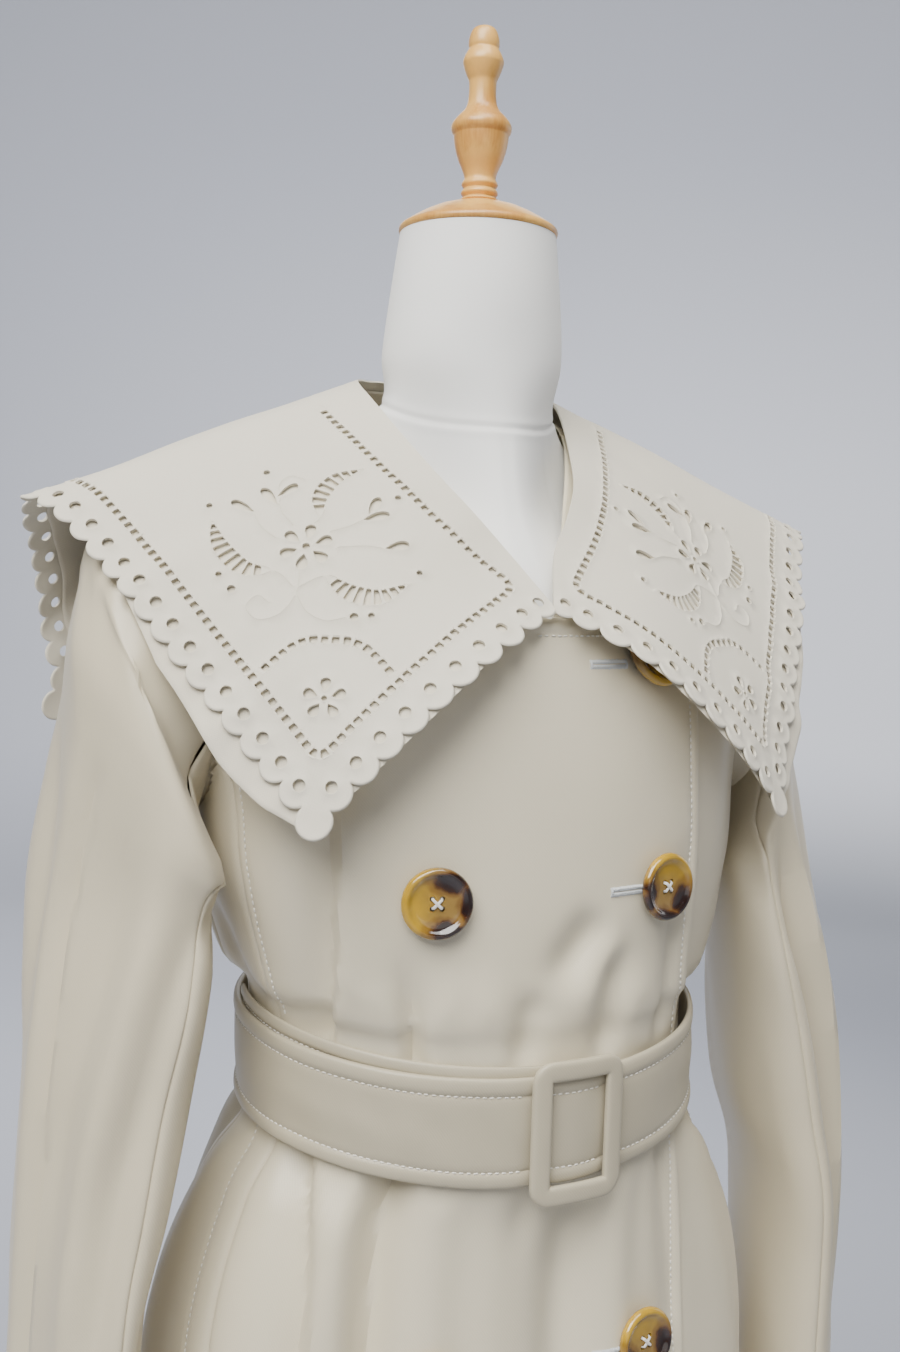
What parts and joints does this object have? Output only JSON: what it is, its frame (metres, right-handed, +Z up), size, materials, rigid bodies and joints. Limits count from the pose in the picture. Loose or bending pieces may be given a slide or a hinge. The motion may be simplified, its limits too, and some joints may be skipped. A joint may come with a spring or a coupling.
{
  "type": "trench coat on a dress form",
  "caption": "Belted double-breasted trench coat with a wide cutwork collar and long sleeves, standing on a limbless dress form with a turned wooden finial and a round base.",
  "frame": {"origin": "centre of the underside of the dress form's round base, on the floor", "axes": "+Z up; the coat's front faces -Y; +X is the wearer's left"},
  "size_m": [0.4882, 0.37, 1.5795],
  "materials": {
    "coat_cloth": "fine twill with a soft satin sheen",
    "collar_cloth": "matte plain weave with satin-stitched cutwork",
    "under_collar_cloth": "matte plain weave",
    "button_horn": "polished, amber horn with dark patches",
    "form_linen": "stretched off-white linen with felled seams",
    "form_wood": "turned, clear satin varnish"
  },
  "bodies": {
    "root": {"front_right": "coat_cloth", "front_left": "coat_cloth", "side_front_right": "coat_cloth", "side_front_left": "coat_cloth", "back_right": "coat_cloth", "back_left": "coat_cloth", "sleeve_upper_right": "coat_cloth", "sleeve_upper_left": "coat_cloth", "sleeve_under_right": "coat_cloth", "sleeve_under_left": "coat_cloth", "belt": "coat_cloth", "belt_tail": "coat_cloth", "buckle": "coat_cloth", "collar_top_right": "collar_cloth", "collar_top_left": "collar_cloth", "collar_under_right": "under_collar_cloth", "collar_under_left": "under_collar_cloth", "button_top_left": "button_horn", "button_mid_right": "button_horn", "button_mid_left": "button_horn", "button_low_right": "button_horn", "button_low_left": "button_horn", "form_body": "form_linen", "form_cap": "form_wood", "form_finial": "form_wood", "form_pole": "form_wood", "form_base": "form_wood"}
  },
  "joints": []
}
